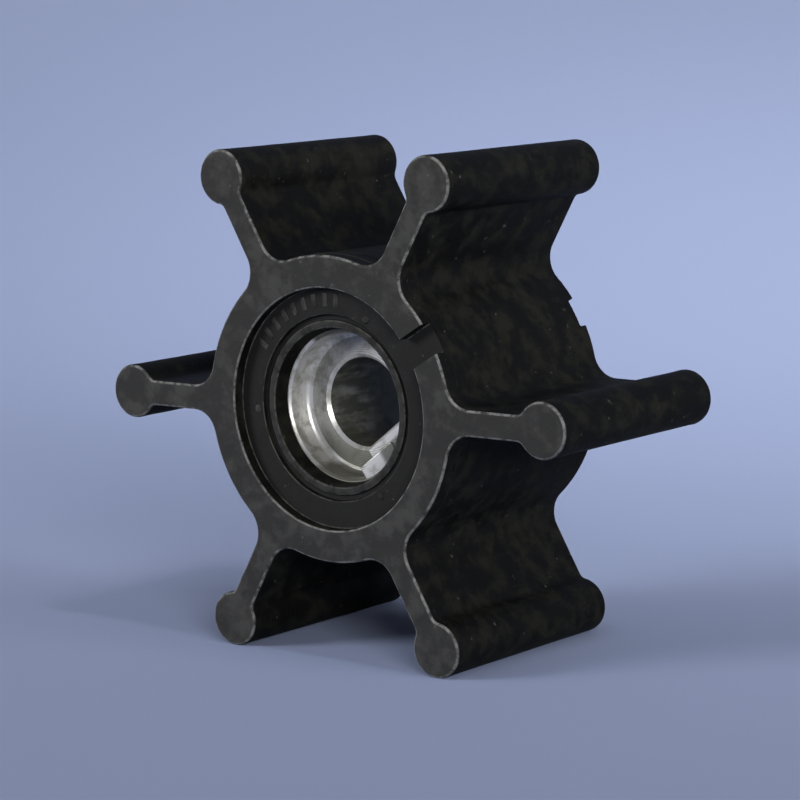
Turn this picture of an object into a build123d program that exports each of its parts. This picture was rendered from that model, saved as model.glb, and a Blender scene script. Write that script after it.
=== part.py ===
"""Six-vane flexible rubber pump impeller with a bonded metal drive bush.

The impeller's axis runs along Y and its front face looks towards -Y.
The origin is on the axis, halfway between the two end faces.
Angles are measured in the front view, from +X towards +Z.
All lengths are in millimetres and all angles in degrees.
"""

import os
from math import hypot

from build123d import *

# ---------------------------------------------------------------- driving sizes
# Whole impeller
outer_diameter = 50.8        # over the vane tips
impeller_width = 22.2        # hub and vanes end flush with each other
vane_count = 6

# Hub and vanes
hub_diameter = 27.0
vane_thickness = 2.3
root_round = 2.4             # where a vane flares into the hub
tip_bead_diameter = 4.9      # round bead along each vane tip
neck_round = 0.8             # where a vane runs into its bead
front_edge_round = 0.3
rear_edge_round = 0.45

# Moulded recess in each end face of the hub
recess_diameter = 21.2
recess_depth = 1.15          # the notch in the rim is as deep
step_diameter = 16.4         # inside it, the floor lies a little deeper
step_depth = 0.45
lip_diameter = 15.4          # low lip round the mouth
lip_rise = 0.25
lip_round = 0.2
mouth_diameter = 14.0        # hole in the recess floor that shows the bush
mouth_seat_diameter = 13.5   # the same hole where it meets the bush
notch_width = 2.8
notch_angle = 31.0

# Small raised marks on the front recess floor
pip_count = 3
pip_diameter = 0.9
pip_circle_diameter = 17.6
pip_first_angle = 64.5
dash_count = 9
dash_width = 0.6
dash_length = 1.3
dash_circle_diameter = 19.0
dash_first_angle = 87.0
dash_pitch_angle = 7.5
mark_rise = 0.18

# Metal drive bush
bush_setback = 2.8           # its end faces lie this far inside the impeller's end faces
bush_diameter = 17.0
bush_edge_break = 0.2
flute_count = 12             # axial flutes that key the rubber to the bush
flute_diameter = 1.6
counterbore_diameter = 12.9
counterbore_depth = 2.4
counterbore_round = 0.6      # between the counterbore's wall and its floor
nose_diameter = 7.94         # turned-down end of the shaft, which carries the drive flat
nose_height = 7.37           # from the drive flat to the nose's round side
shaft_diameter = 9.52
shaft_seat_depth = 7.0       # from the bush's rear end to the step the shaft's shoulder meets
shaft_clearance = 0.05       # added to both diameters and to the nose's height
nose_edge_break = 0.3        # chamfer round the mouth of the nose bore
shaft_lead_in = 0.4          # chamfer at the rear end of the shaft bore
drive_angle = -53.0          # direction of the drive flat from the axis
land_width = 4.4             # key land in the counterbore, beside the drive flat
land_distance = 5.1          # from the axis to the land's inner face

# ---------------------------------------------------------------- derived places
half_width = impeller_width / 2
hub_radius = hub_diameter / 2
bead_radius = tip_bead_diameter / 2
bead_circle_radius = outer_diameter / 2 - bead_radius
recess_floor = half_width - recess_depth
step_floor = recess_floor - step_depth
lip_top = step_floor + lip_rise
rim_radius = (hub_diameter + recess_diameter) / 4
rim_wall = (hub_diameter - recess_diameter) / 2
half_bush = half_width - bush_setback
counterbore_radius = counterbore_diameter / 2
counterbore_floor = half_bush - counterbore_depth
nose_bore_radius = (nose_diameter + shaft_clearance) / 2
shaft_bore_radius = (shaft_diameter + shaft_clearance) / 2
flat_distance = nose_height + shaft_clearance - nose_bore_radius

middle = Plane.XZ                            # its normal points out of the front
front_floor = middle.offset(recess_floor)
bush_front = middle.offset(half_bush)
bush_rear = middle.offset(-half_bush)
section = Plane.XY                           # radius along X, the axis along Y


def lies_at(y, within_radius=outer_diameter):
    """Make a test for edges that lie at one place along the axis.

    Args:
        y: The place along the impeller's axis.
        within_radius: The distance from the axis that the edge's middle stays within.

    Returns:
        A function that takes an edge and says whether it lies there.
    """
    def test(edge):
        centre = edge.center()
        return abs(centre.Y - y) < 1e-3 and hypot(centre.X, centre.Z) < within_radius

    return test


def has_radius(radius):
    """Make a test for sketch corners that lie at one distance from the axis.

    Args:
        radius: The distance from the axis.

    Returns:
        A function that takes a vertex and says whether it lies there.
    """
    return lambda vertex: abs(hypot(vertex.X, vertex.Y) - radius) < 1e-3


# ---------------------------------------------------------------- bush blank
# The outside of the bush, which the rubber is moulded round.
with BuildPart() as bush_blank:
    with BuildSketch(middle):
        Circle(bush_diameter / 2)
        with PolarLocations(bush_diameter / 2, flute_count):
            Circle(flute_diameter / 2, mode=Mode.SUBTRACT)
    extrude(amount=half_bush, both=True)

# ---------------------------------------------------------------- drive bush
with BuildPart() as drive_bush:
    add(bush_blank.part)

    # Bore for the shaft's nose, with the drive flat.
    with BuildSketch(bush_front):
        Circle(nose_bore_radius)
        with Locations(Rotation(0, 0, drive_angle)):
            with Locations((flat_distance, 0)):
                Rectangle(
                    nose_bore_radius,
                    2 * nose_bore_radius,
                    align=(Align.MIN, Align.CENTER),
                    mode=Mode.SUBTRACT,
                )
    extrude(amount=-2 * half_bush, mode=Mode.SUBTRACT)

    # Round shaft bore from the rear end, down to the step for the shaft's shoulder.
    with BuildSketch(bush_rear):
        Circle(shaft_bore_radius)
    extrude(amount=shaft_seat_depth, mode=Mode.SUBTRACT)
    rear_edges = drive_bush.edges().filter_by(lies_at(half_bush, shaft_bore_radius + shaft_lead_in))
    chamfer(rear_edges, shaft_lead_in)

    # Counterbore at the front end, which leaves the key land standing.
    with BuildSketch(bush_front):
        Circle(counterbore_radius)
        with Locations(Rotation(0, 0, drive_angle)):
            with Locations((land_distance, 0)):
                Rectangle(
                    counterbore_diameter, land_width, align=(Align.MIN, Align.CENTER), mode=Mode.SUBTRACT
                )
    extrude(amount=-counterbore_depth, mode=Mode.SUBTRACT)
    floor_arcs = drive_bush.edges().filter_by(GeomType.CIRCLE).filter_by(lies_at(-counterbore_floor))
    fillet(floor_arcs.sort_by(SortBy.RADIUS)[-1], counterbore_round)
    nose_edges = drive_bush.edges().filter_by(
        lies_at(-counterbore_floor, nose_bore_radius + nose_edge_break)
    )
    chamfer(nose_edges, nose_edge_break)
    mouth_edges = drive_bush.edges().filter_by(
        lies_at(-half_bush, counterbore_radius + bush_edge_break)
    )
    chamfer(mouth_edges, bush_edge_break)
drive_bush.part.label = "drive_bush"

# ---------------------------------------------------------------- rubber impeller
with BuildPart() as rubber_impeller:
    # Hub, vanes and tip beads in one outline, so that they flow into each other.
    with BuildSketch(middle) as outline:
        Circle(hub_radius)
        with PolarLocations(0, vane_count):
            with Locations((bead_circle_radius / 2, 0)):
                Rectangle(bead_circle_radius, vane_thickness)
        fillet(outline.vertices().filter_by(has_radius(hub_radius)), root_round)
        corners = outline.vertices()
        with PolarLocations(bead_circle_radius, vane_count):
            Circle(bead_radius)
        fillet(outline.vertices() - corners, neck_round)
    extrude(amount=half_width, both=True)
    fillet(rubber_impeller.edges().filter_by(lies_at(-half_width)), front_edge_round)
    fillet(rubber_impeller.edges().filter_by(lies_at(half_width)), rear_edge_round)

    # Recess, lip and mouth in each end face, down to the bush.
    with BuildSketch(section) as recess:
        with BuildLine():
            Polyline(
                (0, half_width),
                (recess_diameter / 2, half_width),
                (recess_diameter / 2, recess_floor),
                (step_diameter / 2, recess_floor),
                (step_diameter / 2, step_floor),
                (lip_diameter / 2, step_floor),
                (lip_diameter / 2, lip_top),
                (mouth_diameter / 2, lip_top),
                (mouth_seat_diameter / 2, half_bush),
                (0, half_bush),
                close=True,
            )
        make_face()
        lip_corners = recess.vertices().filter_by(lambda vertex: abs(vertex.Y - lip_top) < 1e-4)
        fillet(lip_corners, lip_round)
        mirror(about=Plane.XZ)
    revolve(axis=Axis.Y, mode=Mode.SUBTRACT)

    # Seat of the bush.
    add(bush_blank.part, mode=Mode.SUBTRACT)

    # Notch across the rim of each end face, down to the recess floor.
    for end in (1, -1):
        with BuildSketch(middle.offset(end * half_width)):
            with Locations(Rotation(0, 0, notch_angle)):
                with Locations((rim_radius, 0)):
                    Rectangle(2 * rim_wall, notch_width)
        extrude(amount=-end * recess_depth, mode=Mode.SUBTRACT)

    # Raised marks on the front recess floor.
    with BuildSketch(front_floor):
        with PolarLocations(pip_circle_diameter / 2, pip_count, start_angle=pip_first_angle):
            Circle(pip_diameter / 2)
        with PolarLocations(
            dash_circle_diameter / 2,
            dash_count,
            start_angle=dash_first_angle,
            angular_range=dash_pitch_angle * dash_count,
        ):
            Rectangle(dash_length, dash_width)
    extrude(amount=mark_rise)
rubber_impeller.part.label = "rubber_impeller"

# ---------------------------------------------------------------- files
os.makedirs("parts", exist_ok=True)
export_step(rubber_impeller.part, "parts/rubber_impeller.step")
export_step(drive_bush.part, "parts/drive_bush.step")
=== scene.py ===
"""Looks of a flexible rubber pump impeller with a turned metal drive bush.

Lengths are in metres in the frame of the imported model: the impeller's axis runs along Y,
its front end face looks towards -Y, and it stands on the beads of its two lower vanes.
Angles are in degrees, measured in the front view from +X towards +Z.
"""

from __future__ import annotations

import logging
import math
from dataclasses import dataclass, field
from enum import Enum
from typing import Callable, Iterable

import bmesh
import bpy
from bmesh.types import BMEdge, BMesh, BMFace, BMVert
from mathutils import Matrix, Vector, noise

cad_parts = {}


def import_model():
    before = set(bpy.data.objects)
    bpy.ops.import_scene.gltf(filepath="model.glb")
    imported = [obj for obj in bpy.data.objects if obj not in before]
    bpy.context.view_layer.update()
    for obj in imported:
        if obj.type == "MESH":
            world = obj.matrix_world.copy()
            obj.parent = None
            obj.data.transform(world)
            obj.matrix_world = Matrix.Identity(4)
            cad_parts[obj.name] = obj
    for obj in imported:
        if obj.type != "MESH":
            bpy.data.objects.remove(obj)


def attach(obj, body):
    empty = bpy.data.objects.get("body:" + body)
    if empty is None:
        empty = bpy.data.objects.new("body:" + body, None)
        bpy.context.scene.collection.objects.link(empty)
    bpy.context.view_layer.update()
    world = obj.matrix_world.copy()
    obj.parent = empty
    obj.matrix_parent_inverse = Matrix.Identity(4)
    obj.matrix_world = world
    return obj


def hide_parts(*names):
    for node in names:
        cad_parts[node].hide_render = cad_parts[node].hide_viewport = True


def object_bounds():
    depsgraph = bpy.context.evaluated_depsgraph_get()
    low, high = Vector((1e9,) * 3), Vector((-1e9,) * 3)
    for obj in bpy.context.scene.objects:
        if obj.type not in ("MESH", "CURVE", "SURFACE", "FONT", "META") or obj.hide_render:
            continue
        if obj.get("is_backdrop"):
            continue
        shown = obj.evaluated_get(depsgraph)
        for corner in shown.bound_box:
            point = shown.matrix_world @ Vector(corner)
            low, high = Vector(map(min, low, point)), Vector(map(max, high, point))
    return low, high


LOG = logging.getLogger("impeller")

MM = 0.001
WELD = 1e-6  # points this near are one point
FULL_TURN = math.tau
TURNING_STEPS = 160  # steps round a turned surface
ORIGIN = Vector((0.0, 0.0, 0.0))
AXIS = Vector((0.0, -1.0, 0.0))
UPRIGHT = Vector((0.0, 0.0, 1.0))
ONTO_AXIS = Matrix.Rotation(math.radians(90.0), 4, "X")  # lays a shape's own Z along -Y
DRIVE_ANGLE = -53.0  # direction of the drive flat and the key land from the axis

Colour = tuple[float, float, float]
Place = tuple[float, float, float]


class End(Enum):
    """One end of the impeller, with the sign of its place along Y."""

    FRONT = -1
    REAR = 1


class Rounded(Enum):
    """What a bevel rounds."""

    EDGES = "EDGES"
    CORNERS = "VERTICES"


# --------------------------------------------------------------------------- mesh helpers
def direction(angle: float) -> Vector:
    """Return the unit vector across the axis at an angle in degrees."""
    return Vector((math.cos(math.radians(angle)), 0.0, math.sin(math.radians(angle))))


TOWARDS_LAND = direction(DRIVE_ANGLE)
ALONG_LAND = direction(DRIVE_ANGLE + 90.0)


def across(place: Vector) -> float:
    """Return a point's distance from the impeller's axis."""
    return math.hypot(place.x, place.z)


def parts_of(geometry: Iterable, kind: type) -> list:
    """Return the vertices, edges or faces out of an operator's mixed result."""
    return [item for item in geometry if isinstance(item, kind)]


def open_edges_at(mesh: BMesh, test: Callable[[Vector], bool]) -> list[BMEdge]:
    """Return the edges with fewer than two faces whose ends both pass a test.

    Args:
        mesh: The mesh to search.
        test: Takes a vertex's place and says whether it counts.

    Returns:
        The edges that are open and lie where the test says.
    """
    return [
        edge
        for edge in mesh.edges
        if len(edge.link_faces) < 2 and all(test(vertex.co) for vertex in edge.verts)
    ]


def open_edge_count(mesh: BMesh) -> int:
    """Return how many edges don't have two faces."""
    return sum(len(edge.link_faces) != 2 for edge in mesh.edges)


@dataclass
class Tracer:
    """Draws a wire across the axis from straight runs and arcs.

    Attributes:
        mesh: The mesh that the wire is drawn in.
        tip: The vertex that the next run starts from.
    """

    mesh: BMesh
    tip: BMVert

    @classmethod
    def start(cls, mesh: BMesh, place: Vector) -> Tracer:
        """Start a wire at one place."""
        return cls(mesh, mesh.verts.new(place))

    def run_to(self, place: Vector) -> None:
        """Draw a straight run.

        Args:
            place: Where the run ends.
        """
        made = bmesh.ops.extrude_vert_indiv(self.mesh, verts=[self.tip])
        self.tip = made["verts"][0]
        self.tip.co = place

    def arc(self, centre: Vector, turn: float, steps: int) -> None:
        """Draw an arc.

        Args:
            centre: The arc's centre.
            turn: How far the arc turns, in degrees, positive from +X towards +Z.
            steps: How many straight steps the arc has.
        """
        angle = math.radians(turn)
        made = bmesh.ops.spin(
            self.mesh, geom=[self.tip], cent=centre, axis=AXIS, angle=angle, steps=steps
        )
        self.tip = parts_of(made["geom_last"], BMVert)[0]


def repeat_round(mesh: BMesh, copies: int) -> None:
    """Repeat all of a wire round the axis and join it into one closed loop.

    Args:
        mesh: The mesh that holds the wire of one sector.
        copies: How many sectors make the full turn.
    """
    bmesh.ops.spin(
        mesh,
        geom=mesh.verts[:] + mesh.edges[:],
        cent=ORIGIN,
        axis=AXIS,
        angle=FULL_TURN / copies * (copies - 1),
        steps=copies - 1,
        use_duplicate=True,
    )
    bmesh.ops.remove_doubles(mesh, verts=mesh.verts[:], dist=WELD)


def turn_fully(mesh: BMesh, axis: Vector) -> None:
    """Turn all of a wire once round an axis through the origin.

    Args:
        mesh: The mesh that holds the wire.
        axis: The direction of the axis.
    """
    bmesh.ops.spin(
        mesh,
        geom=mesh.verts[:] + mesh.edges[:],
        cent=ORIGIN,
        axis=axis,
        angle=FULL_TURN,
        steps=TURNING_STEPS,
        use_merge=True,
    )


def round_off(
    mesh: BMesh,
    geometry: list[BMEdge] | list[BMVert],
    size: float,
    steps: int = 3,
    kind: Rounded = Rounded.EDGES,
) -> None:
    """Round edges, or the corners of a wire that isn't skinned yet.

    Args:
        mesh: The mesh that holds them.
        geometry: The edges or the corner vertices.
        size: How far the round reaches from the edge or the corner.
        steps: How many steps the round has.
        kind: Whether edges or corners are rounded.
    """
    bmesh.ops.bevel(
        mesh,
        geom=geometry,
        offset=size,
        segments=steps,
        profile=0.5,
        affect=kind.value,
        material=-1,
    )


def turn_profile(
    points: list[tuple[float, float]], rounds: list[float], fineness: int = 3
) -> BMesh:
    """Turn a profile once round the axis.

    Args:
        points: The profile's corners, each a radius and a place along Y.
        rounds: The size of the round at each corner between the first and the last.
        fineness: How many steps each round has.

    Returns:
        A mesh of the turned surface, open at the profile's two ends.
    """
    mesh = bmesh.new()
    verts = [mesh.verts.new((radius, place, 0.0)) for radius, place in points]
    for first, second in zip(verts, verts[1:]):
        mesh.edges.new((first, second))
    for size in sorted(set(rounds) - {0.0}):
        corners = [vertex for vertex, own in zip(verts[1:-1], rounds) if own == size]
        round_off(mesh, corners, size, fineness, Rounded.CORNERS)
    turn_fully(mesh, AXIS)
    bmesh.ops.remove_doubles(mesh, verts=mesh.verts[:], dist=WELD)
    return mesh


def absorb(target: BMesh, source: BMesh) -> None:
    """Move everything from one mesh into another.

    Args:
        target: The mesh that grows.
        source: The mesh that is emptied and freed.
    """
    carrier = bpy.data.meshes.new("carrier")
    source.to_mesh(carrier)
    source.free()
    target.from_mesh(carrier)
    bpy.data.meshes.remove(carrier)


def fill_between(mesh: BMesh, edges: list[BMEdge], facing: Vector) -> None:
    """Close the flat area between two loops with faces."""
    bmesh.ops.triangle_fill(mesh, use_beauty=True, use_dissolve=False, edges=edges, normal=facing)


def soft_block(length: float, depth: float, width: float, edge: float) -> BMesh:
    """Make a block with rounded edges, centred on the origin.

    Args:
        length: The block's size along X.
        depth: Its size along Y.
        width: Its size along Z.
        edge: The size of the round on its edges.

    Returns:
        The block's mesh.
    """
    mesh = bmesh.new()
    bmesh.ops.create_cube(mesh, size=1.0)
    bmesh.ops.scale(mesh, vec=(length, depth, width), verts=mesh.verts[:])
    round_off(mesh, mesh.edges[:], edge)
    return mesh


def place_at(mesh: BMesh, radius: float, place: float, angle: float) -> None:
    """Move a mesh out from the axis and along it, then turn it round the axis.

    Args:
        mesh: The mesh, centred on the origin.
        radius: How far it moves out along X.
        place: How far it moves along Y.
        angle: How far it is then turned, in degrees.
    """
    turn = Matrix.Rotation(math.radians(angle), 4, AXIS)
    bmesh.ops.transform(
        mesh, matrix=turn @ Matrix.Translation((radius, place, 0.0)), verts=mesh.verts[:]
    )


def as_object(mesh: BMesh, name: str) -> bpy.types.Object:
    """Turn a finished bmesh into a linked object with outward faces.

    Args:
        mesh: The mesh, which is freed.
        name: The object's name.

    Returns:
        The object, at the origin.
    """
    bmesh.ops.remove_doubles(mesh, verts=mesh.verts[:], dist=WELD)
    bmesh.ops.recalc_face_normals(mesh, faces=mesh.faces[:])
    data = bpy.data.meshes.new(name)
    mesh.to_mesh(data)
    mesh.free()
    return link(name, data)


def link(name: str, data: bpy.types.ID) -> bpy.types.Object:
    """Make an object and link it to the scene.

    Args:
        name: The object's name.
        data: Its mesh, lamp or camera.

    Returns:
        The object.
    """
    item = bpy.data.objects.new(name, data)
    bpy.context.scene.collection.objects.link(item)
    return item


def shade(piece: bpy.types.Object, crease: float) -> None:
    """Shade a piece smooth between its creases, with flat faces kept flat.

    Args:
        piece: The object to shade.
        crease: The angle in degrees above which an edge stays sharp.
    """
    piece.data.shade_smooth()
    piece.data.set_sharp_from_angle(angle=math.radians(crease))
    weighting = piece.modifiers.new("weighted_normals", "WEIGHTED_NORMAL")
    weighting.keep_sharp = True
    weighting.weight = 80


def cut_away(piece: bpy.types.Object, cutters: list[BMesh]) -> None:
    """Cut shapes out of a piece and keep the result as its mesh.

    Args:
        piece: The object that is cut.
        cutters: The closed meshes that are cut out of it, which are freed.
    """
    tools = [as_object(cutter, f"cutter_{number}") for number, cutter in enumerate(cutters)]
    for tool in tools:
        cut = piece.modifiers.new(tool.name, "BOOLEAN")
        cut.operation = "DIFFERENCE"
        cut.solver = "EXACT"
        cut.object = tool
    bpy.context.view_layer.update()
    graph = bpy.context.evaluated_depsgraph_get()
    result = bpy.data.meshes.new_from_object(piece.evaluated_get(graph))
    old = piece.data
    result.name = old.name + "_cut"
    piece.modifiers.clear()
    piece.data = result
    bpy.data.meshes.remove(old)
    for tool in tools:
        bpy.data.objects.remove(tool)


# --------------------------------------------------------------------------- finishes
@dataclass(frozen=True)
class Grain:
    """One random pattern in space.

    Attributes:
        size: The rough size of one blotch.
        detail: How many finer layers the pattern has.
        roughness: How strong the finer layers are.
        along: How many times longer the blotches are along the impeller's axis.
    """

    size: float
    detail: float
    roughness: float = 0.6
    along: float = 1.0


@dataclass(frozen=True)
class Ramp:
    """A stretch of one value that becomes a stretch of another, held at its ends.

    Attributes:
        low: Where the first value's stretch starts.
        high: Where it ends, which may be the lower of the two.
        start: What comes out where it starts.
        end: What comes out where it ends.
    """

    low: float
    high: float
    start: float = 0.0
    end: float = 1.0


class NodeCanvas:
    """A node tree with short ways to add and join nodes."""

    def __init__(self, owner: bpy.types.Material | bpy.types.World) -> None:
        """Start on a node tree.

        Args:
            owner: The material or the world that the tree belongs to.
        """
        owner.use_nodes = True
        self.tree = owner.node_tree
        self.place = self.tree.nodes.new("ShaderNodeTexCoord")

    def fill(
        self, target: bpy.types.NodeSocket, value: bpy.types.NodeSocket | Colour | float
    ) -> None:
        """Give an input its value.

        Args:
            target: The input.
            value: The output that is joined to it, or its colour or number.
        """
        if isinstance(value, bpy.types.NodeSocket):
            self.tree.links.new(value, target)
        elif isinstance(value, tuple):
            target.default_value = (*value, 1.0)
        else:
            target.default_value = value

    def noise(self, grain: Grain) -> bpy.types.NodeSocket:
        """Add a random pattern in object space.

        Args:
            grain: The pattern's sizes.

        Returns:
            The pattern's factor.
        """
        node = self.tree.nodes.new("ShaderNodeTexNoise")
        node.inputs["Scale"].default_value = 1.0 / grain.size
        node.inputs["Detail"].default_value = grain.detail
        node.inputs["Roughness"].default_value = grain.roughness
        stretch = self.tree.nodes.new("ShaderNodeMapping")
        stretch.inputs["Scale"].default_value = (1.0, 1.0 / grain.along, 1.0)
        self.fill(stretch.inputs["Vector"], self.place.outputs["Object"])
        self.fill(node.inputs["Vector"], stretch.outputs["Vector"])
        return node.outputs["Fac"]

    def part(self, source: str, letter: str) -> bpy.types.NodeSocket:
        """Take one part of a place or of a direction.

        Args:
            source: The texture coordinate, such as Object or Normal.
            letter: X, Y or Z.

        Returns:
            The part's value.
        """
        split = self.tree.nodes.new("ShaderNodeSeparateXYZ")
        self.fill(split.inputs[0], self.place.outputs[source])
        return split.outputs[letter]

    def along(self, way: Vector) -> bpy.types.NodeSocket:
        """Measure the object-space place along one direction.

        Args:
            way: The direction's unit vector.

        Returns:
            The distance from the origin along it.
        """
        product = self.tree.nodes.new("ShaderNodeVectorMath")
        product.operation = "DOT_PRODUCT"
        self.fill(product.inputs[0], self.place.outputs["Object"])
        product.inputs[1].default_value = way
        return product.outputs["Value"]

    def band(self, source: bpy.types.NodeSocket, ramp: Ramp) -> bpy.types.NodeSocket:
        """Pass a value through a ramp.

        Args:
            source: The value.
            ramp: What becomes of it.

        Returns:
            What comes out.
        """
        node = self.tree.nodes.new("ShaderNodeMapRange")
        node.interpolation_type = "SMOOTHSTEP"
        for name, value in (
            ("From Min", ramp.low),
            ("From Max", ramp.high),
            ("To Min", ramp.start),
            ("To Max", ramp.end),
        ):
            node.inputs[name].default_value = value
        self.fill(node.inputs["Value"], source)
        return node.outputs["Result"]

    def maths(
        self,
        operation: str,
        first: bpy.types.NodeSocket,
        second: bpy.types.NodeSocket | float = 0.0,
    ) -> bpy.types.NodeSocket:
        """Work out one value from one or two.

        Args:
            operation: The maths node's operation.
            first: The first value.
            second: The second value, where the operation takes one.

        Returns:
            The result.
        """
        node = self.tree.nodes.new("ShaderNodeMath")
        node.operation = operation
        self.fill(node.inputs[0], first)
        self.fill(node.inputs[1], second)
        return node.outputs["Value"]

    def times(
        self, first: bpy.types.NodeSocket, second: bpy.types.NodeSocket | float
    ) -> bpy.types.NodeSocket:
        """Multiply two values."""
        return self.maths("MULTIPLY", first, second)

    def larger(
        self, first: bpy.types.NodeSocket, second: bpy.types.NodeSocket
    ) -> bpy.types.NodeSocket:
        """Take the larger of two values."""
        return self.maths("MAXIMUM", first, second)

    def blend(
        self,
        factor: bpy.types.NodeSocket,
        first: bpy.types.NodeSocket | Colour,
        second: bpy.types.NodeSocket | Colour,
    ) -> bpy.types.NodeSocket:
        """Mix two colours.

        Args:
            factor: The second colour's share, from 0 to 1.
            first: The first colour.
            second: The second colour.

        Returns:
            The mixed colour.
        """
        node = self.tree.nodes.new("ShaderNodeMix")
        node.data_type = "RGBA"
        self.fill(node.inputs["Factor"], factor)
        self.fill(node.inputs[6], first)
        self.fill(node.inputs[7], second)
        return node.outputs[2]


class Dressing(NodeCanvas):
    """The node tree of a material with one principled shader."""

    def __init__(self, name: str) -> None:
        """Start a material.

        Args:
            name: The material's name.
        """
        self.material = bpy.data.materials.new(name)
        super().__init__(self.material)
        self.shader = self.tree.nodes["Principled BSDF"]

    def dress(self, looks: dict[str, bpy.types.NodeSocket | Colour | float]) -> None:
        """Give the shader's named inputs their values."""
        for name, value in looks.items():
            self.fill(self.shader.inputs[name], value)

    def relief(self, heights: list[tuple[bpy.types.NodeSocket, float]]) -> None:
        """Join bumps to the shader, one on top of the other.

        Args:
            heights: Each a height from 0 to 1 and its depth in metres.
        """
        below = None
        for height, depth in heights:
            bump = self.tree.nodes.new("ShaderNodeBump")
            bump.inputs["Strength"].default_value = 1.0
            bump.inputs["Distance"].default_value = depth
            self.fill(bump.inputs["Height"], height)
            if below is not None:
                self.fill(bump.inputs["Normal"], below)
            below = bump.outputs["Normal"]
        self.fill(self.shader.inputs["Normal"], below)


@dataclass(frozen=True)
class MouldedRubber:
    """Black moulded rubber: deep on its moulded sides, greyer on its wiped end faces.

    The zones go by the distance from the impeller's middle along its axis, and by how
    squarely a surface faces along it, from 0 to 1.
    """

    deep: Colour = (0.0024, 0.0024, 0.0020)
    worn: Colour = (0.0096, 0.0096, 0.0074)
    floor: Colour = (0.0125, 0.0125, 0.0122)
    raised: Colour = (0.042, 0.042, 0.041)
    end_dark: Colour = (0.023, 0.023, 0.0226)
    end_light: Colour = (0.042, 0.042, 0.041)
    # worn edges, made paler also as a painted highlight along the rounded edges
    edge: Colour = (0.170, 0.170, 0.170)
    speck: Colour = (0.110, 0.108, 0.102)
    gloss: float = 0.08

    blotches: Grain = Grain(2.0 * MM, 5.0, 0.62)
    scuffs: Grain = Grain(1.1 * MM, 4.0, 0.7)
    specks: Grain = Grain(0.7 * MM, 2.0, 0.5)
    pores: Grain = Grain(0.22 * MM, 3.0, 0.7)
    blotch_depth: float = 0.10 * MM
    pore_depth: float = 0.018 * MM

    wiped: Ramp = Ramp(10.60 * MM, 10.85 * MM)
    # share of the worn edge and painted edge highlight kept on edges near the recess
    in_recess: Ramp = Ramp(9.62 * MM, 9.68 * MM, 0.0, 0.35)
    above_step: Ramp = Ramp(9.62 * MM, 9.68 * MM)
    below_floor: Ramp = Ramp(9.80 * MM, 9.86 * MM, 0.6, 0.0)
    on_marks: Ramp = Ramp(9.965 * MM, 10.00 * MM)
    flat: Ramp = Ramp(0.86, 0.98)
    off_side: Ramp = Ramp(0.20, 0.55)
    off_flat: Ramp = Ramp(0.88, 0.99, 1.0, 0.0)

    patchy: Ramp = Ramp(0.42, 0.66)
    rubbed: Ramp = Ramp(0.35, 0.62, 0.15, 0.9)
    specked: Ramp = Ramp(0.70, 0.78, 0.0, 0.35)
    roughness: Ramp = Ramp(0.35, 0.70, 0.62, 0.80)

    def material(self) -> bpy.types.Material:
        """Build the rubber's material.

        Returns:
            The material.
        """
        canvas = Dressing("moulded_rubber")
        blotches, pores = canvas.noise(self.blotches), canvas.noise(self.pores)
        facing = canvas.maths("ABSOLUTE", canvas.part("Normal", "Y"))
        depth = canvas.maths("ABSOLUTE", canvas.part("Object", "Y"))
        wear = canvas.band(canvas.noise(self.scuffs), self.rubbed)
        patches = canvas.band(blotches, self.patchy)
        wiped = canvas.band(depth, self.wiped)

        side = canvas.blend(patches, self.deep, self.worn)
        end = canvas.blend(patches, self.end_dark, self.end_light)
        on_lip = canvas.times(
            canvas.band(depth, self.above_step), canvas.band(depth, self.below_floor)
        )
        proud = canvas.larger(canvas.band(depth, self.on_marks), on_lip)
        low = canvas.blend(canvas.times(proud, wear), self.floor, self.raised)
        faces = canvas.blend(wiped, low, end)
        body = canvas.blend(canvas.band(facing, self.flat), side, faces)

        # rounded edges between the sides and the end faces: wear and a painted highlight, in the
        # edge colour
        edge_wear_and_highlight = canvas.times(
            canvas.band(facing, self.off_side), canvas.band(facing, self.off_flat)
        )
        outer = canvas.larger(wiped, canvas.band(depth, self.in_recess))
        body = canvas.blend(canvas.times(canvas.times(edge_wear_and_highlight, wear), outer), body, self.edge)
        specks = canvas.band(canvas.noise(self.specks), self.specked)
        canvas.dress(
            {
                "Base Color": canvas.blend(specks, body, self.speck),
                "Roughness": canvas.band(blotches, self.roughness),
                "Specular IOR Level": self.gloss,
            }
        )
        canvas.relief([(blotches, self.blotch_depth), (pores, self.pore_depth)])
        return canvas.material


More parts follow.
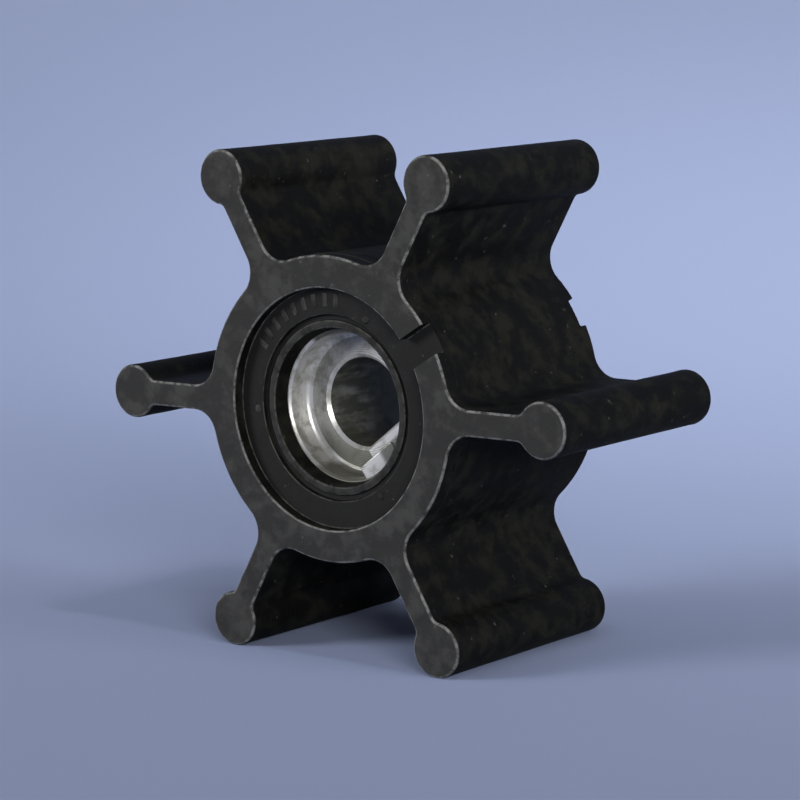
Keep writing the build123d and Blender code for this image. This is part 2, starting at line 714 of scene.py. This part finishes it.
@dataclass(frozen=True)
class TurnedSteel:
    """Turned stainless steel: bright where freshly cut, dark with grime down the bore.

    The zones go by each face's polish from 0 to 1, by places along the axis, and by
    distances across it. The ramps named off_land spare the bright key land.
    """

    bright: Colour = (0.68, 0.68, 0.675)
    stain: Colour = (0.27, 0.27, 0.23)
    # dark tone: darker towards the bottom, and painted shade and a painted shadow by the key land
    dark_tone: Colour = (0.090, 0.088, 0.068)
    grime: Colour = (0.060, 0.062, 0.046)
    metal_share: float = 0.50
    polish_gain: float = 0.24

    stains: Grain = Grain(1.7 * MM, 5.0, 0.65)
    streaks: Grain = Grain(0.9 * MM, 3.0, along=4.0)
    pits: Grain = Grain(0.5 * MM, 3.0)
    pit_depth: float = 0.01 * MM
    line_pitch: float = 0.20 * MM
    line_depth: float = 0.004 * MM

    stained: Ramp = Ramp(0.44, 0.68, 0.0, 0.85)
    streaked: Ramp = Ramp(0.40, 0.70, 0.0, 0.26)
    near_mouth: Ramp = Ramp(-2.0 * MM, 2.5 * MM, 1.0, 0.1)
    # darker towards the bottom, most in the lowest part, less on the key land
    darker_low: Ramp = Ramp(-1.2 * MM, -5.0 * MM, 0.0, 0.85)
    darker_low_off_land: Ramp = Ramp(0.50, 0.99, 1.0, 0.35)
    darkest_lowest: Ramp = Ramp(-4.9 * MM, -5.9 * MM, 0.0, 0.92)
    darkest_lowest_off_land: Ramp = Ramp(0.90, 0.99, 1.0, 0.25)
    # painted shade in the corner of the ledge beside the key land
    corner_shade_out: Ramp = Ramp(4.1 * MM, 4.6 * MM, 0.0, 0.95)
    corner_shade_deep: Ramp = Ramp(-6.4 * MM, -6.1 * MM)
    # painted shadow of the rubber mouth over one end of the key land, near its front
    land_end_shadow: Ramp = Ramp(0.1 * MM, 0.9 * MM, 0.0, 0.9)
    land_shadow_front: Ramp = Ramp(-7.9 * MM, -8.1 * MM)
    roughness: Ramp = Ramp(0.35, 0.70, 0.52, 0.64)

    def material(self) -> bpy.types.Material:
        """Build the steel's material.

        Returns:
            The material.
        """
        canvas = Dressing("turned_steel")
        polish = canvas.tree.nodes.new("ShaderNodeAttribute")
        polish.attribute_name = "polish"
        zone = polish.outputs["Fac"]
        stains = canvas.noise(self.stains)
        metal = canvas.blend(canvas.band(stains, self.stained), self.bright, self.stain)
        # darker towards the bottom, with painted shade in the corner by the land and a painted
        # shadow on the land's end
        metal = canvas.blend(self.darkening(canvas, zone), metal, self.dark_tone)
        streaks = canvas.band(canvas.noise(self.streaks), self.streaked)
        shown = canvas.times(streaks, canvas.band(canvas.part("Object", "Y"), self.near_mouth))
        clean = canvas.larger(zone, shown)
        gain = canvas.times(zone, self.polish_gain)
        canvas.dress(
            {
                "Base Color": canvas.blend(clean, self.grime, metal),
                "Roughness": canvas.maths("SUBTRACT", canvas.band(stains, self.roughness), gain),
                "Metallic": self.metal_share,
            }
        )
        pits = canvas.noise(self.pits)
        canvas.relief([(self.lines(canvas), self.line_depth), (pits, self.pit_depth)])
        return canvas.material

    def darkening(self, canvas: NodeCanvas, zone: bpy.types.NodeSocket) -> bpy.types.NodeSocket:
        """Say where the dark tone goes: towards the bottom, as painted shade in the corner by the
        land and as a painted shadow on the land's end.

        Args:
            canvas: The material's node tree.
            zone: Each face's polish.

        Returns:
            The share of the dark tone.
        """
        height, depth = canvas.part("Object", "Z"), canvas.part("Object", "Y")
        zones = (
            # darker towards the bottom
            (height, self.darker_low, zone, self.darker_low_off_land),
            (height, self.darkest_lowest, zone, self.darkest_lowest_off_land),
            # painted shade in the corner beside the key land
            (canvas.along(TOWARDS_LAND), self.corner_shade_out, depth, self.corner_shade_deep),
            # painted shadow of the rubber mouth on the land's end
            (canvas.along(ALONG_LAND), self.land_end_shadow, depth, self.land_shadow_front),
        )
        share = None
        for first, first_ramp, second, second_ramp in zones:
            dark_tone = canvas.times(canvas.band(first, first_ramp), canvas.band(second, second_ramp))
            share = dark_tone if share is None else canvas.larger(share, dark_tone)
        return share

    def lines(self, canvas: NodeCanvas) -> bpy.types.NodeSocket:
        """Draw fine turning lines, round the axis on flat faces and on bore walls alike.

        Args:
            canvas: The material's node tree.

        Returns:
            The lines' height.
        """
        squares = canvas.maths(
            "ADD",
            canvas.maths("POWER", canvas.part("Object", "X"), 2.0),
            canvas.maths("POWER", canvas.part("Object", "Z"), 2.0),
        )
        reach = canvas.maths("ADD", canvas.maths("SQRT", squares), canvas.part("Object", "Y"))
        return canvas.maths("SINE", canvas.times(reach, FULL_TURN / self.line_pitch))


@dataclass(frozen=True)
class StudioPaper:
    """Pale lavender background paper that keeps the object's shadow."""

    colour: Colour = (0.28, 0.335, 0.52)
    roughness: float = 0.9
    gloss: float = 0.1

    def material(self) -> bpy.types.Material:
        """Build the paper's material.

        Returns:
            The material.
        """
        canvas = Dressing("studio_paper")
        canvas.dress(
            {
                "Base Color": self.colour,
                "Roughness": self.roughness,
                "Specular IOR Level": self.gloss,
            }
        )
        return canvas.material


# --------------------------------------------------------------------------- rubber body
@dataclass
class BushOutline:
    """The fluted outside of the bush, which the rubber grips."""

    diameter: float = 17.0 * MM
    flute_diameter: float = 1.6 * MM
    flute_count: int = 12
    half_length: float = 8.3 * MM
    flute_steps: int = 8
    rib_steps: int = 4  # over each half of the round part between two flutes

    def loop(self, place: float) -> BMesh:
        """Draw the outline across the axis at one place along it.

        Args:
            place: The place along Y.

        Returns:
            A mesh that holds the closed wire.
        """
        radius, flute = self.diameter / 2, self.flute_diameter / 2
        half_flute = math.degrees(2 * math.asin(flute / (2 * radius)))
        half_pitch = 180.0 / self.flute_count
        mesh = bmesh.new()
        centre = Vector((0.0, place, 0.0))
        tracer = Tracer.start(mesh, direction(-half_pitch) * radius + centre)
        tracer.arc(centre, half_pitch - half_flute, self.rib_steps)
        flute_centre = centre + Vector((radius, 0.0, 0.0))
        tracer.arc(flute_centre, half_flute - 180.0, self.flute_steps)
        tracer.arc(centre, half_pitch - half_flute, self.rib_steps)
        repeat_round(mesh, self.flute_count)
        return mesh

    def wall(self) -> BMesh:
        """Make the outline's wall over the bush's whole length.

        Returns:
            A mesh of the wall, open at both ends.
        """
        mesh = self.loop(-self.half_length)
        made = bmesh.ops.extrude_edge_only(mesh, edges=mesh.edges[:])
        far = parts_of(made["geom"], BMVert)
        bmesh.ops.translate(mesh, vec=(0.0, 2 * self.half_length, 0.0), verts=far)
        return mesh


@dataclass
class EndRecess:
    """The moulded recess in an end face of the hub, with its lip, mouth and rim notch."""

    diameter: float = 21.2 * MM
    depth: float = 1.15 * MM
    step_diameter: float = 16.4 * MM
    step_depth: float = 0.45 * MM
    lip_diameter: float = 15.4 * MM
    lip_rise: float = 0.25 * MM
    mouth_diameter: float = 14.0 * MM
    seat_diameter: float = 13.5 * MM  # where the mouth meets the bush
    rim_round: float = 0.22 * MM
    lip_round: float = 0.20 * MM
    corner_round: float = 0.12 * MM
    notch_width: float = 2.8 * MM
    notch_angle: float = 31.0
    notch_round: float = 0.18 * MM

    def turned(self, end: End, half_width: float, half_bush: float) -> BMesh:
        """Turn the recess, lip and mouth of one end face.

        Args:
            end: The end face that the recess is in.
            half_width: The end face's distance from the impeller's middle.
            half_bush: The distance of the bush's end face from there.

        Returns:
            The recess's surface, open at the rim and at the bush.
        """
        hair = 0.02 * MM  # flat left between the rim's round and the profile's end
        rim, step, lip = self.diameter / 2, self.step_diameter / 2, self.lip_diameter / 2
        floor = half_width - self.depth
        low_floor = floor - self.step_depth
        lip_top = low_floor + self.lip_rise
        profile = [
            (rim + self.rim_round + hair, half_width),
            (rim, half_width),
            (rim, floor),
            (step, floor),
            (step, low_floor),
            (lip, low_floor),
            (lip, lip_top),
            (self.mouth_diameter / 2, lip_top),
            (self.seat_diameter / 2, half_bush),
        ]
        soft = self.corner_round
        rounds = [self.rim_round, soft, soft, soft, soft / 2, self.lip_round, self.lip_round]
        return turn_profile([(radius, end.value * place) for radius, place in profile], rounds)

    def notch_cutter(self, end: End, half_width: float, hub_radius: float) -> BMesh:
        """Make the block that cuts the rim notch of one end face.

        Args:
            end: The end face that the notch is in.
            half_width: The end face's distance from the impeller's middle.
            hub_radius: The outer radius of the rim.

        Returns:
            The block's mesh.
        """
        overlap, margin, above, hair = 0.3 * MM, 0.5 * MM, 1.0 * MM, 0.01 * MM
        inner, outer = self.diameter / 2 - overlap, hub_radius + margin
        depth = self.depth + above - hair
        cutter = soft_block(outer - inner, depth, self.notch_width, self.notch_round)
        middle = end.value * (half_width + above - depth / 2)
        place_at(cutter, (inner + outer) / 2, middle, self.notch_angle)
        return cutter


@dataclass
class FloorMarks:
    """The small raised pips and plain dashes on the front recess floor."""

    sink: float = 0.1 * MM  # how far they reach into the floor
    pip_count: int = 3
    pip_rise: float = 0.16 * MM
    pip_foot_radius: float = 0.42 * MM
    pip_top_radius: float = 0.26 * MM
    pip_round: float = 0.05 * MM
    pip_reach: float = 8.8 * MM
    pip_first_angle: float = 64.5
    dash_count: int = 9
    dash_rise: float = 0.064 * MM
    dash_length: float = 1.2 * MM
    dash_width: float = 0.5 * MM
    dash_round: float = 0.06 * MM
    dash_reach: float = 9.5 * MM
    dash_first_angle: float = 87.0
    dash_pitch: float = 7.5

    def pip(self) -> BMesh:
        """Make one low round pip that rises towards -Y.

        Returns:
            The pip's mesh, centred on the origin.
        """
        mesh = bmesh.new()
        bmesh.ops.create_cone(
            mesh,
            cap_ends=True,
            segments=20,
            radius1=self.pip_foot_radius,
            radius2=self.pip_top_radius,
            depth=self.pip_rise + self.sink,
            matrix=ONTO_AXIS,
        )
        rings = [edge for edge in mesh.edges if len(edge.link_faces[0].verts) != 4]
        round_off(mesh, rings, self.pip_round, 2)
        return mesh

    def on_floor(self, floor: float) -> BMesh:
        """Set the pips and dashes round the recess floor.

        Args:
            floor: The floor's place along Y.

        Returns:
            A mesh of them all.
        """
        mesh = bmesh.new()
        for number in range(self.pip_count):
            pip = self.pip()
            angle = self.pip_first_angle + 360.0 / self.pip_count * number
            place_at(pip, self.pip_reach, floor - (self.pip_rise - self.sink) / 2, angle)
            absorb(mesh, pip)
        for number in range(self.dash_count):
            height = self.dash_rise + self.sink
            dash = soft_block(self.dash_length, height, self.dash_width, self.dash_round)
            angle = self.dash_first_angle + self.dash_pitch * number
            place_at(dash, self.dash_reach, floor - (self.dash_rise - self.sink) / 2, angle)
            absorb(mesh, dash)
        return mesh


@dataclass
class MouldSkin:
    """The faint mould lines round the hub and the slight unevenness of the rubber."""

    lines: tuple[float, ...] = (1.6 * MM, 3.1 * MM)  # behind the front end face
    line_width: float = 0.30 * MM
    line_rise: float = 0.03 * MM
    sections: int = 14
    wave_length: float = 5.0 * MM
    wave_depth: float = 0.05 * MM
    still_margin: float = 0.7 * MM  # left even beside each end face
    hub_margin: float = 0.05 * MM

    def lay_on(self, mesh: BMesh, half_width: float, hub_radius: float) -> None:
        """Part the sides of the moulding along its width and move them a little.

        Args:
            mesh: The moulding's sides.
            half_width: Half of the impeller's width.
            hub_radius: The hub's radius, past which there is no mould line.
        """
        pitch = 2 * half_width / self.sections
        places = [-half_width + pitch * number for number in range(1, self.sections)]
        for line in self.lines:
            places += [-half_width + line + side * self.line_width / 2 for side in (-1, 0, 1)]
        for place in sorted(places):
            bmesh.ops.bisect_plane(
                mesh,
                geom=mesh.verts[:] + mesh.edges[:] + mesh.faces[:],
                plane_co=(0.0, place, 0.0),
                plane_no=(0.0, 1.0, 0.0),
            )
        mesh.normal_update()
        for vertex in mesh.verts:
            if half_width - abs(vertex.co.y) < self.still_margin:
                continue
            outward = Vector((vertex.normal.x, 0.0, vertex.normal.z)).normalized()
            behind = vertex.co.y + half_width
            on_line = any(abs(behind - line) < WELD for line in self.lines)
            if on_line and across(vertex.co) < hub_radius + self.hub_margin:
                vertex.co += outward * self.line_rise
            else:
                wave = 0.5 + 0.5 * noise.noise(vertex.co / self.wave_length)
                vertex.co -= outward * wave * self.wave_depth


@dataclass
class RubberImpeller:
    """The one-piece rubber moulding: hub, vanes, tip beads, recesses and marks."""

    outer_diameter: float = 50.8 * MM
    width: float = 22.2 * MM
    vane_count: int = 6
    hub_diameter: float = 27.0 * MM
    vane_thickness: float = 2.3 * MM
    root_round: float = 2.4 * MM
    bead_diameter: float = 4.9 * MM
    neck_round: float = 0.8 * MM
    edge_rounds: dict[End, float] = field(
        default_factory=lambda: {End.FRONT: 0.3 * MM, End.REAR: 0.45 * MM}
    )
    edge_steps: int = 4
    crease: float = 38.0
    recess: EndRecess = field(default_factory=EndRecess)
    marks: FloorMarks = field(default_factory=FloorMarks)
    skin: MouldSkin = field(default_factory=MouldSkin)
    bush: BushOutline = field(default_factory=BushOutline)
    finish: MouldedRubber = field(default_factory=MouldedRubber)

    @property
    def half(self) -> float:
        """Half of the impeller's width."""
        return self.width / 2

    def outline(self) -> BMesh:
        """Draw the outline of hub, vanes and beads across the axis, at its middle.

        Returns:
            A mesh that holds the closed wire.
        """
        bead_steps, neck_steps, root_steps, hub_steps = 16, 4, 9, 6
        bead, half_vane = self.bead_diameter / 2, self.vane_thickness / 2
        reach = self.outer_diameter / 2 - bead
        hub = self.hub_diameter / 2
        neck_z = half_vane + self.neck_round
        neck_x = reach - math.sqrt((bead + self.neck_round) ** 2 - neck_z**2)
        root_z = half_vane + self.root_round
        root_x = math.sqrt((hub + self.root_round) ** 2 - root_z**2)
        neck_turn = math.degrees(math.atan2(neck_z, reach - neck_x))
        root_turn = math.degrees(math.atan2(root_z, root_x))
        mesh = bmesh.new()
        tracer = Tracer.start(mesh, Vector((reach + bead, 0.0, 0.0)))
        tracer.arc(Vector((reach, 0.0, 0.0)), 180.0 - neck_turn, bead_steps)
        tracer.arc(Vector((neck_x, 0.0, neck_z)), neck_turn - 90.0, neck_steps)
        tracer.run_to(Vector((root_x, 0.0, half_vane)))
        tracer.arc(Vector((root_x, 0.0, root_z)), root_turn - 90.0, root_steps)
        tracer.arc(ORIGIN, 180.0 / self.vane_count - root_turn, hub_steps)
        bmesh.ops.mirror(mesh, geom=mesh.verts[:] + mesh.edges[:], axis="Z", merge_dist=WELD)
        repeat_round(mesh, self.vane_count)
        return mesh

    def sides(self) -> BMesh:
        """Give the outline its width and round the edges of both ends.

        Returns:
            A mesh of the sides, open at both end faces.
        """
        mesh = self.outline()
        face = bmesh.ops.contextual_create(mesh, geom=mesh.edges[:])["faces"][0]
        bmesh.ops.translate(mesh, vec=(0.0, -self.half, 0.0), verts=mesh.verts[:])
        made = bmesh.ops.extrude_face_region(mesh, geom=[face], use_keep_orig=True)
        far = parts_of(made["geom"], BMVert)
        bmesh.ops.translate(mesh, vec=(0.0, self.width, 0.0), verts=far)
        for end, size in self.edge_rounds.items():
            rims = [
                edge
                for edge in mesh.edges
                if all(abs(vertex.co.y - end.value * self.half) < WELD for vertex in edge.verts)
            ]
            round_off(mesh, rims, size, self.edge_steps)
        bmesh.ops.recalc_face_normals(mesh, faces=mesh.faces[:])
        side_corners = 40  # more than any face of the sides has
        caps = [face for face in mesh.faces if len(face.verts) > side_corners]
        bmesh.ops.delete(mesh, geom=caps, context="FACES_ONLY")
        return mesh

    def close_end(self, mesh: BMesh, end: End) -> None:
        """Fill the flat end face and the face that meets the bush's end.

        Args:
            mesh: The moulding, open at both of those faces.
            end: The end that is closed.
        """
        levels = ((self.half, 0.0), (self.bush.half_length, self.recess.seat_diameter / 2))
        for level, least in levels:
            edges = open_edges_at(
                mesh,
                lambda co: abs(co.y - end.value * level) < WELD and across(co) > least - 3 * WELD,
            )
            fill_between(mesh, edges, Vector((0.0, float(end.value), 0.0)))

    def build(self) -> bpy.types.Object:
        """Build the moulding and dress it.

        Returns:
            The finished piece.
        """
        hub = self.hub_diameter / 2
        mesh = self.sides()
        self.skin.lay_on(mesh, self.half, hub)
        for end in End:
            absorb(mesh, self.recess.turned(end, self.half, self.bush.half_length))
        absorb(mesh, self.bush.wall())
        bmesh.ops.remove_doubles(mesh, verts=mesh.verts[:], dist=WELD)
        for end in End:
            self.close_end(mesh, end)
        LOG.info("moulding: %d faces, %d open edges", len(mesh.faces), open_edge_count(mesh))
        piece = as_object(mesh, "rubber_moulding")
        cut_away(piece, [self.recess.notch_cutter(end, self.half, hub) for end in End])
        marked = bmesh.new()
        marked.from_mesh(piece.data)
        absorb(marked, self.marks.on_floor(self.recess.depth - self.half))
        marked.to_mesh(piece.data)
        marked.free()
        shade(piece, self.crease)
        piece.data.materials.clear()
        piece.data.materials.append(self.finish.material())
        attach(piece, "root")
        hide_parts("rubber_impeller")
        return piece


# --------------------------------------------------------------------------- drive bush
class Polish(Enum):
    """How bright each zone of the bush is kept, from 0 for grimy to 1 for freshly cut."""

    BORE = 0.0
    LEDGE = 0.45
    WALL = 0.85
    LAND = 1.0


@dataclass
class DriveBush:
    """The turned metal bush: counterbore, key land, flatted nose bore and shaft bore."""

    outline: BushOutline = field(default_factory=BushOutline)
    counterbore_diameter: float = 12.9 * MM
    counterbore_depth: float = 2.4 * MM
    counterbore_round: float = 0.6 * MM
    counterbore_round_steps: int = 7
    edge_break: float = 0.2 * MM
    edge_soft: float = 0.05 * MM
    nose_bore_diameter: float = 7.99 * MM
    nose_edge_break: float = 0.3 * MM
    flat_distance: float = 3.425 * MM
    shaft_bore_diameter: float = 9.57 * MM
    seat_depth: float = 7.0 * MM
    lead_in: float = 0.4 * MM
    land_width: float = 4.4 * MM
    land_distance: float = 5.1 * MM
    land_round: float = 0.14 * MM
    land_setback: float = 0.03 * MM
    land_sink: float = 0.1 * MM  # how far the land reaches into the floor
    land_overlap: float = 0.15 * MM  # and into the wall
    crease: float = 32.0
    finish: TurnedSteel = field(default_factory=TurnedSteel)

    @property
    def front(self) -> float:
        """The front end face's place along Y."""
        return -self.outline.half_length

    @property
    def shoulder(self) -> float:
        """The counterbore's floor, as a place along Y."""
        return self.front + self.counterbore_depth

    @property
    def step(self) -> float:
        """The step that the shaft's shoulder meets, as a place along Y."""
        return self.outline.half_length - self.seat_depth

    def counterbore(self) -> BMesh:
        """Turn the counterbore's wall, with its corner round and its edge break.

        Returns:
            A mesh of the wall, open at the floor and at the front.
        """
        bore = self.counterbore_diameter / 2
        floor_share = 1.2  # floor turned with the wall, as a share of the corner's round
        profile = [
            (bore - floor_share * self.counterbore_round, self.shoulder),
            (bore, self.shoulder),
            (bore, self.front + self.edge_break),
            (bore + self.edge_break, self.front),
        ]
        rounds = [self.counterbore_round, self.edge_soft]
        return turn_profile(profile, rounds, self.counterbore_round_steps)

    def nose_bore(self) -> BMesh:
        """Make the wall of the nose bore with its drive flat and its broken front edge.

        Returns:
            A mesh of the wall, open at both ends.
        """
        mesh = bmesh.new()
        bmesh.ops.create_circle(
            mesh,
            cap_ends=False,
            radius=self.nose_bore_diameter / 2,
            segments=128,
            matrix=Matrix.Translation((0.0, self.shoulder, 0.0)) @ ONTO_AXIS,
        )
        bmesh.ops.bisect_plane(
            mesh,
            geom=mesh.verts[:] + mesh.edges[:],
            plane_co=TOWARDS_LAND * self.flat_distance,
            plane_no=TOWARDS_LAND,
            clear_outer=True,
        )
        ends = [vertex for vertex in mesh.verts if len(vertex.link_edges) == 1]
        bmesh.ops.contextual_create(mesh, geom=ends)
        grow = 1.0 + 2 * self.nose_edge_break / self.nose_bore_diameter
        bmesh.ops.scale(mesh, vec=(grow, 1.0, grow), verts=mesh.verts[:])
        edges = mesh.edges[:]
        run = self.step - self.shoulder - self.nose_edge_break
        for length, scale in ((self.nose_edge_break, 1.0 / grow), (run, 1.0)):
            made = bmesh.ops.extrude_edge_only(mesh, edges=edges)
            far = parts_of(made["geom"], BMVert)
            edges = [edge for edge in mesh.edges if all(vertex in far for vertex in edge.verts)]
            bmesh.ops.translate(mesh, vec=(0.0, length, 0.0), verts=far)
            bmesh.ops.scale(mesh, vec=(scale, 1.0, scale), verts=far)
        return mesh

    def shaft_bore(self) -> BMesh:
        """Turn the wall of the round shaft bore with its rear lead-in.

        Returns:
            A mesh of the wall, open at both ends.
        """
        bore, rear = self.shaft_bore_diameter / 2, self.outline.half_length
        profile = [(bore, self.step), (bore, rear - self.lead_in), (bore + self.lead_in, rear)]
        return turn_profile(profile, [0.0])

    def land(self) -> BMesh:
        """Make the key land that stands in the counterbore.

        Returns:
            The land's mesh, in place and marked as the brightest zone.
        """
        outer = self.counterbore_diameter / 2 + self.land_overlap
        depth = self.counterbore_depth - self.land_setback + self.land_sink
        block = soft_block(outer - self.land_distance, depth, self.land_width, self.land_round)
        middle = self.front + self.land_setback + depth / 2
        place_at(block, (outer + self.land_distance) / 2, middle, DRIVE_ANGLE)
        layer = block.faces.layers.float.new("polish")
        for face in block.faces:
            face[layer] = Polish.LAND.value
        return block

    def on_shoulder(self, face: BMFace) -> bool:
        """Say whether a face lies in the counterbore's floor."""
        return all(abs(vertex.co.y - self.shoulder) < WELD for vertex in face.verts)

    def part_ledge(self, mesh: BMesh) -> None:
        """Part the counterbore's floor along the freshly cut ledge below the key land.

        Args:
            mesh: The bush's mesh.
        """
        cuts = [(TOWARDS_LAND, self.flat_distance)]
        cuts += [(ALONG_LAND * side, self.land_width / 2) for side in (-1.0, 1.0)]
        for normal, distance in cuts:
            floor = [face for face in mesh.faces if self.on_shoulder(face)]
            edges = {edge for face in floor for edge in face.edges}
            verts = {vertex for face in floor for vertex in face.verts}
            bmesh.ops.bisect_plane(
                mesh,
                geom=[*verts, *edges, *floor],
                plane_co=normal * distance,
                plane_no=normal,
            )

    def mark_polish(self, mesh: BMesh) -> None:
        """Write each face's polish, which the finish reads.

        Args:
            mesh: The bush's mesh.
        """
        layer = mesh.faces.layers.float.new("polish")
        deep = self.shoulder + self.nose_edge_break
        for face in mesh.faces:
            middle = face.calc_center_median()
            zone = Polish.WALL
            if self.on_shoulder(face):
                on_ledge = middle.dot(TOWARDS_LAND) > self.flat_distance
                beside_land = abs(middle.dot(ALONG_LAND)) > self.land_width / 2
                zone = Polish.LAND if on_ledge and not beside_land else Polish.LEDGE
            elif middle.y > deep and across(middle) < self.shaft_bore_diameter / 2 + self.lead_in:
                zone = Polish.BORE
            face[layer] = zone.value

    def build(self) -> bpy.types.Object:
        """Build the bush and dress it.

        Returns:
            The finished piece.
        """
        mesh = self.outline.wall()
        for wall in (self.counterbore(), self.nose_bore(), self.shaft_bore()):
            absorb(mesh, wall)
        bmesh.ops.remove_doubles(mesh, verts=mesh.verts[:], dist=WELD)
        faces = ((self.front, -1.0), (self.shoulder, -1.0), (self.step, 1.0), (-self.front, 1.0))
        for place, facing in faces:
            edges = open_edges_at(mesh, lambda co: abs(co.y - place) < WELD)
            fill_between(mesh, edges, Vector((0.0, facing, 0.0)))
        LOG.info("bush: %d faces, %d open edges", len(mesh.faces), open_edge_count(mesh))
        self.part_ledge(mesh)
        self.mark_polish(mesh)
        absorb(mesh, self.land())
        piece = as_object(mesh, "turned_bush")
        shade(piece, self.crease)
        piece.data.materials.append(self.finish.material())
        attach(piece, "root")
        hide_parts("drive_bush")
        return piece


# --------------------------------------------------------------------------- studio
def hang(data: bpy.types.Light, place: Place, target: Place) -> bpy.types.Object:
    """Hang a lamp and point it.

    Args:
        data: The lamp's data.
        place: Where it hangs.
        target: Where it points.

    Returns:
        The lamp.
    """
    lamp = link(data.name, data)
    lamp.location = place
    lamp.rotation_euler = (Vector(target) - Vector(place)).to_track_quat("-Z", "Y").to_euler()
    return lamp


@dataclass(frozen=True)
class SoftLamp:
    """One square area lamp that points at the impeller."""

    name: str
    place: Place
    size: float
    power: float
    colour: Colour = (1.0, 1.0, 1.0)

    def build(self) -> bpy.types.Object:
        """Hang the lamp and point it at the origin.

        Returns:
            The lamp.
        """
        data = bpy.data.lights.new(self.name, "AREA")
        data.shape = "SQUARE"
        data.size = self.size
        data.energy = self.power
        data.color = self.colour
        return hang(data, self.place, tuple(ORIGIN))


@dataclass(frozen=True)
class PoolLamp:
    """A soft-edged spot lamp that lights a pool of the paper behind the impeller."""

    name: str
    place: Place
    target: Place
    opening: float
    power: float
    source_radius: float = 0.1

    def build(self) -> bpy.types.Object:
        """Hang the lamp and point it at its target.

        Returns:
            The lamp.
        """
        data = bpy.data.lights.new(self.name, "SPOT")
        data.energy = self.power
        data.spot_size = math.radians(self.opening)
        data.spot_blend = 1.0
        data.shadow_soft_size = self.source_radius
        return hang(data, self.place, self.target)


@dataclass
class Studio:
    """Paper dish, soft lamps, world and camera."""

    camera_place: Place = (0.16288, -0.20374, 0.03806)
    camera_forward: Place = (-0.61917, 0.77148, -0.14644)
    camera_up: Place = (-0.07345, 0.12877, 0.98895)
    lens: float = 132.5  # in millimetres, as the sensor
    sensor: float = 36.0
    clip_start: float = 0.01
    dish_flat: float = 0.14
    dish_bend: float = 0.75
    dish_sweep: float = 30.0
    dish_steps: int = 40
    room: Colour = (0.82, 0.80, 0.77)
    room_level: float = 0.22
    beyond_front: Colour = (0.140, 0.166, 0.254)  # tone past the dish's rim, towards -Y
    beyond_rear: Colour = (0.272, 0.321, 0.490)  # and towards +Y
    paper: StudioPaper = field(default_factory=StudioPaper)

    def dish(self, level: float) -> bpy.types.Object:
        """Lay the paper: flat under the impeller and curved up gently all round it.

        Args:
            level: The height that the impeller stands on.

        Returns:
            The paper, marked as stage.
        """
        mesh = bmesh.new()
        tracer = Tracer.start(mesh, Vector((0.0, 0.0, level)))
        tracer.run_to(Vector((self.dish_flat, 0.0, level)))
        bend_centre = Vector((self.dish_flat, 0.0, level + self.dish_bend))
        tracer.arc(bend_centre, self.dish_sweep, self.dish_steps)
        turn_fully(mesh, UPRIGHT)
        piece = as_object(mesh, "studio_paper")
        piece.data.shade_smooth()
        piece.data.materials.append(self.paper.material())
        piece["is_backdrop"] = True
        return piece

    def camera(self) -> bpy.types.Object:
        """Set the camera up.

        Returns:
            The camera.
        """
        data = bpy.data.cameras.new("camera")
        data.lens = self.lens
        data.sensor_width = self.sensor
        data.clip_start = self.clip_start
        camera = link("camera", data)
        forward = Vector(self.camera_forward).normalized()
        side = forward.cross(Vector(self.camera_up)).normalized()
        turned = Matrix((side, side.cross(forward), -forward)).transposed().to_4x4()
        camera.matrix_world = Matrix.Translation(self.camera_place) @ turned
        bpy.context.scene.camera = camera
        return camera

    def world(self) -> None:
        """Light the scene evenly, and show the paper's tone wherever a view passes its rim."""
        world = bpy.data.worlds.new("studio_world")
        bpy.context.scene.world = world
        canvas = NodeCanvas(world)
        nodes = canvas.tree.nodes
        room, beyond = nodes["Background"], nodes.new("ShaderNodeBackground")
        canvas.fill(room.inputs["Color"], self.room)
        canvas.fill(room.inputs["Strength"], self.room_level)
        rearward = canvas.maths("ADD", canvas.times(canvas.part("Generated", "Y"), 0.5), 0.5)
        tone = canvas.blend(rearward, self.beyond_front, self.beyond_rear)
        canvas.fill(beyond.inputs["Color"], tone)
        rays = nodes.new("ShaderNodeLightPath").outputs
        mirrored = canvas.larger(rays["Is Glossy Ray"], rays["Is Transmission Ray"])
        choice = nodes.new("ShaderNodeMixShader")
        canvas.fill(choice.inputs["Fac"], canvas.larger(rays["Is Camera Ray"], mirrored))
        canvas.fill(choice.inputs[1], room.outputs["Background"])
        canvas.fill(choice.inputs[2], beyond.outputs["Background"])
        canvas.fill(nodes["World Output"].inputs["Surface"], choice.outputs["Shader"])

    def lamps(self, level: float) -> None:
        """Hang the lamps.

        Args:
            level: The height that the impeller stands on.
        """
        key = SoftLamp("key_lamp", place=(-1.60, -1.75, 0.80), size=0.9, power=50.0)
        fill = SoftLamp(
            "fill_lamp", place=(1.27, -0.98, 0.42), size=0.6, power=26.0, colour=(1.0, 0.97, 0.92)
        )
        side = SoftLamp("side_lamp", place=(1.70, 0.30, 0.42), size=0.5, power=14.0)
        pool = PoolLamp(
            "pool_lamp",
            place=(0.35, 0.00, 0.65),
            target=(-0.06, 0.21, level),
            opening=32.0,
            power=22.0,
        )
        for lamp in (key, fill, side, pool):
            lamp.build()

    def build(self, level: float) -> None:
        """Build the whole studio.

        Args:
            level: The height that the impeller stands on.
        """
        self.dish(level)
        self.camera()
        self.world()
        self.lamps(level)
        bpy.context.scene.view_settings.view_transform = "Standard"


def main() -> None:
    """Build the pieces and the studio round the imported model."""
    logging.basicConfig(level=logging.INFO, format="%(name)s: %(message)s")
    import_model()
    cad_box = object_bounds()
    for maker in (RubberImpeller(), DriveBush()):
        piece = maker.build()
    Studio().build(cad_box[0].z)


if __name__ == "__main__":
    main()
